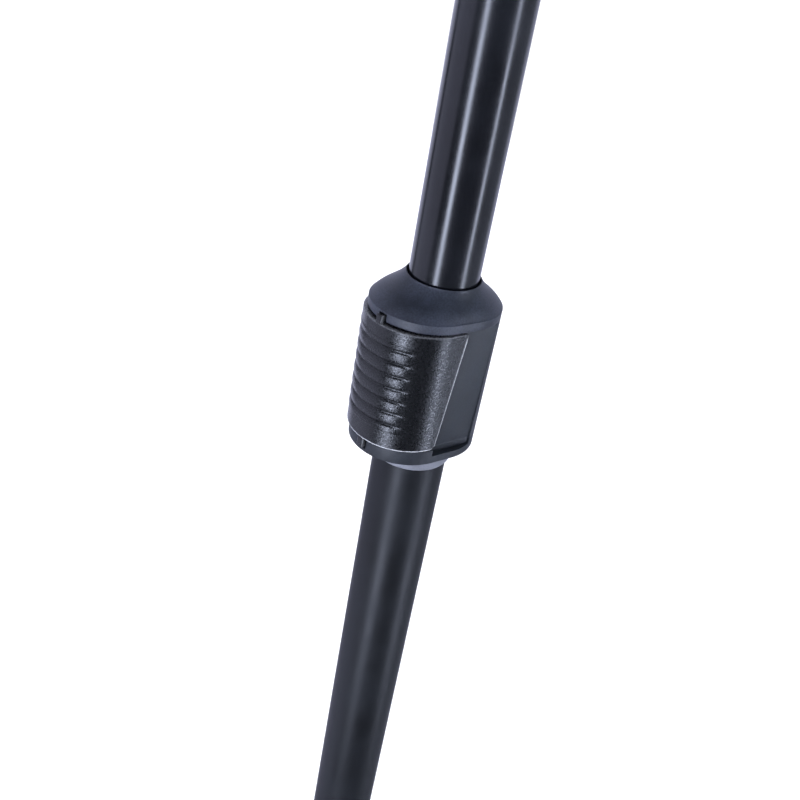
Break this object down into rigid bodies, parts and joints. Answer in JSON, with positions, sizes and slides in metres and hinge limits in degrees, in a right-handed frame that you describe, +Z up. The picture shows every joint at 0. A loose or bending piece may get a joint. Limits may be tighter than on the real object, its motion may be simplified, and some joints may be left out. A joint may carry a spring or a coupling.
{
  "type": "music stand",
  "caption": "Free-standing music stand with a folded sheet desk on a tilting head, a height clutch worked by a squeeze lever, and swinging tripod legs.",
  "frame": {"origin": "on the floor, under the middle of the whole stand's box as stored", "axes": "+Z up, the player stands on the -Y side, one leg points to +Y"},
  "size_m": [0.5456, 0.476, 1.1662],
  "materials": {
    "black_tube": "steel tube, satin black powder coat",
    "black_sheet": "folded steel sheet, fine black powder coat",
    "clutch_shell": "glass-filled nylon moulding, matt blue-black",
    "lever_gloss": "moulded black plastic, fine leather grain, glossy",
    "grey_collar": "moulded grey plastic",
    "nylon": "black nylon",
    "plate_steel": "hardened steel, ground faces",
    "spring_steel": "drawn spring wire",
    "screw_steel": "blackened steel fasteners",
    "fibre_washer": "pale fibre",
    "hub_black": "glass-filled nylon moulding, black",
    "knob_black": "moulded black plastic",
    "boot_rubber": "moulded black rubber"
  },
  "bodies": {
    "stand": {"lower_tube": "black_tube", "liner_bush": "nylon", "clutch_housing": "clutch_shell", "clutch_cap": "clutch_shell", "clutch_bottom_ring": "clutch_shell", "tube_collar": "grey_collar", "plate_spring": "spring_steel", "lever_springs": "spring_steel", "clutch_screws": "screw_steel", "housing_grub_screw": "screw_steel", "base_plug": "hub_black", "base_bolt": "screw_steel", "base_nut": "screw_steel", "rear_collar": "hub_black", "friction_washers": "fibre_washer", "stop_ring": "hub_black", "stop_grub_screw": "screw_steel", "rear_leg": "black_tube", "rear_boot": "boot_rubber", "rear_leg_screw": "screw_steel"},
    "slide_bush": {"tube_end_bush": "nylon"},
    "mast": {"upper_tube": "black_tube", "head_socket": "hub_black", "head_screw": "screw_steel", "friction_discs": "fibre_washer"},
    "desk": {"desk_panel": "black_sheet", "desk_bracket": "black_sheet", "desk_rivets": "screw_steel", "weld_nut": "screw_steel"},
    "knob": {"tilt_knob": "knob_black", "pivot_bolt": "screw_steel"},
    "lever": {"squeeze_lever": "lever_gloss", "release_comb": "nylon"},
    "plate_top": {"lock_plate_top": "plate_steel"},
    "plate_middle": {"lock_plate_middle": "plate_steel"},
    "plate_bottom": {"lock_plate_bottom": "plate_steel"},
    "left_leg_set": {"left_leg": "black_tube", "left_collar": "hub_black", "left_boot": "boot_rubber", "left_leg_screw": "screw_steel"},
    "right_leg_set": {"right_leg": "black_tube", "right_collar": "hub_black", "right_boot": "boot_rubber", "right_leg_screw": "screw_steel"}
  },
  "joints": [
    {"name": "mast_slide", "type": "slide", "parent": "stand", "child": "slide_bush", "axis": [0, 0, 1], "range_m": [-0.16, 0.185]},
    {"name": "desk_turn", "type": "hinge", "parent": "slide_bush", "child": "mast", "pos_m": [0, -0.075, 0.93], "axis": [0, 0, 1], "continuous": true},
    {"name": "desk_tilt", "type": "hinge", "parent": "mast", "child": "desk", "pos_m": [0, -0.075, 0.9635], "axis": [-1, 0, 0], "range_deg": [-25, 60]},
    {"name": "knob_turn", "type": "hinge", "parent": "desk", "child": "knob", "pos_m": [0, -0.075, 0.9635], "axis": [1, 0, 0], "range_deg": [0, 270]},
    {"name": "lever_press", "type": "slide", "parent": "stand", "child": "lever", "axis": [0, 1, 0], "range_m": [0, 0.0035], "stiffness_N_per_m": 3000, "springref_m": -0.002, "deforming": ["lever_springs"]},
    {"name": "left_leg_swing", "type": "hinge", "parent": "stand", "child": "left_leg_set", "pos_m": [0, -0.075, 0.0792], "axis": [0, 0, -1], "range_deg": [0, 105]},
    {"name": "right_leg_swing", "type": "hinge", "parent": "stand", "child": "right_leg_set", "pos_m": [0, -0.075, 0.1012], "axis": [0, 0, 1], "range_deg": [0, 105]},
    {"name": "plate_bottom_tilt", "type": "hinge", "parent": "stand", "child": "plate_bottom", "pos_m": [0, -0.058, 0.5855], "axis": [-1, 0, 0], "range_deg": [0, 4]},
    {"name": "plate_middle_tilt", "type": "hinge", "parent": "stand", "child": "plate_middle", "pos_m": [0, -0.058, 0.592], "axis": [-1, 0, 0], "range_deg": [0, 4]},
    {"name": "plate_top_tilt", "type": "hinge", "parent": "stand", "child": "plate_top", "pos_m": [0, -0.058, 0.5985], "axis": [-1, 0, 0], "range_deg": [0, 4]}
  ],
  "couplings": [
    {"joint": "plate_bottom_tilt", "follows": "lever_press", "rad_per_m": 19.94},
    {"joint": "plate_middle_tilt", "follows": "lever_press", "rad_per_m": 19.94},
    {"joint": "plate_top_tilt", "follows": "lever_press", "rad_per_m": 19.94}
  ]
}
